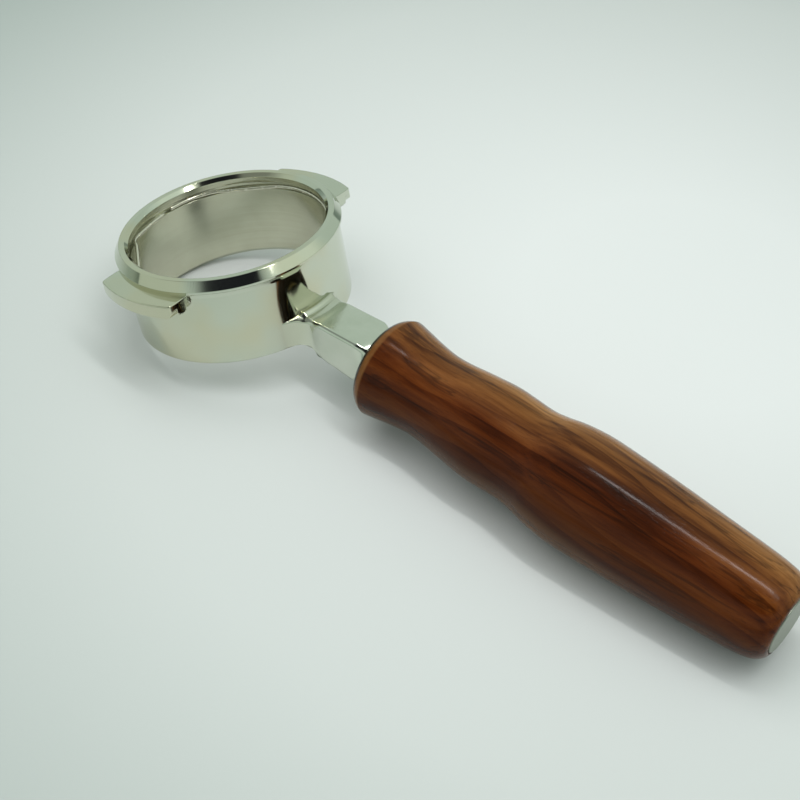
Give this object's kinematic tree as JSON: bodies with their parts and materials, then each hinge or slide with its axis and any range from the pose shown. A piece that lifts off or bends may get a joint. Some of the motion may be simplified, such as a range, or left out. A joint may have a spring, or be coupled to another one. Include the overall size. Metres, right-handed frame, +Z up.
{
  "type": "espresso machine portafilter",
  "caption": "Bottomless portafilter: polished steel ring with two bayonet lugs, a wire basket spring and a turned dark wood handle.",
  "frame": {"origin": "middle of the footprint, on the surface the part lies on", "axes": "+X from the ring towards the free end of the handle, +Z up as it lies on a table, +Y across through the lugs"},
  "size_m": [0.2418, 0.0856, 0.0458],
  "materials": {
    "polished_steel": "polished outside, satin turned bore",
    "spring_steel": "drawn wire, bright",
    "plated_steel": "zinc plated",
    "brass": "turned",
    "dark_wood": "oiled and lacquered reddish brown hardwood, grain along the handle",
    "satin_steel": "satin turned face",
    "black_rubber": "matt"
  },
  "bodies": {
    "portafilter": {"head_ring": "polished_steel", "neck_stem": "polished_steel", "handle_stud": "plated_steel", "front_bush": "brass", "handle_grip": "dark_wood", "flat_washer": "plated_steel", "spring_washer": "spring_steel"},
    "basket_spring": {"basket_spring": "spring_steel"},
    "cap_seal": {"cap_o_ring": "black_rubber"},
    "end_cap": {"end_cap": "satin_steel"}
  },
  "joints": [
    {"name": "spring_turn", "type": "hinge", "parent": "portafilter", "child": "basket_spring", "pos_m": [-0.0854, 0, 0.03312], "axis": [-0.2474, 0, 0.9689], "continuous": true},
    {"name": "cap_travel", "type": "slide", "parent": "portafilter", "child": "cap_seal", "axis": [0.9998, 0, -0.0223], "range_m": [0, 0.00875]},
    {"name": "cap_screw", "type": "hinge", "parent": "cap_seal", "child": "end_cap", "pos_m": [0.12071, 0, 0.01619], "axis": [0.9998, 0, -0.0223], "range_deg": [0, 2520]}
  ],
  "couplings": [
    {"joint": "cap_screw", "follows": "cap_travel", "rad_per_m": 5026.5}
  ]
}
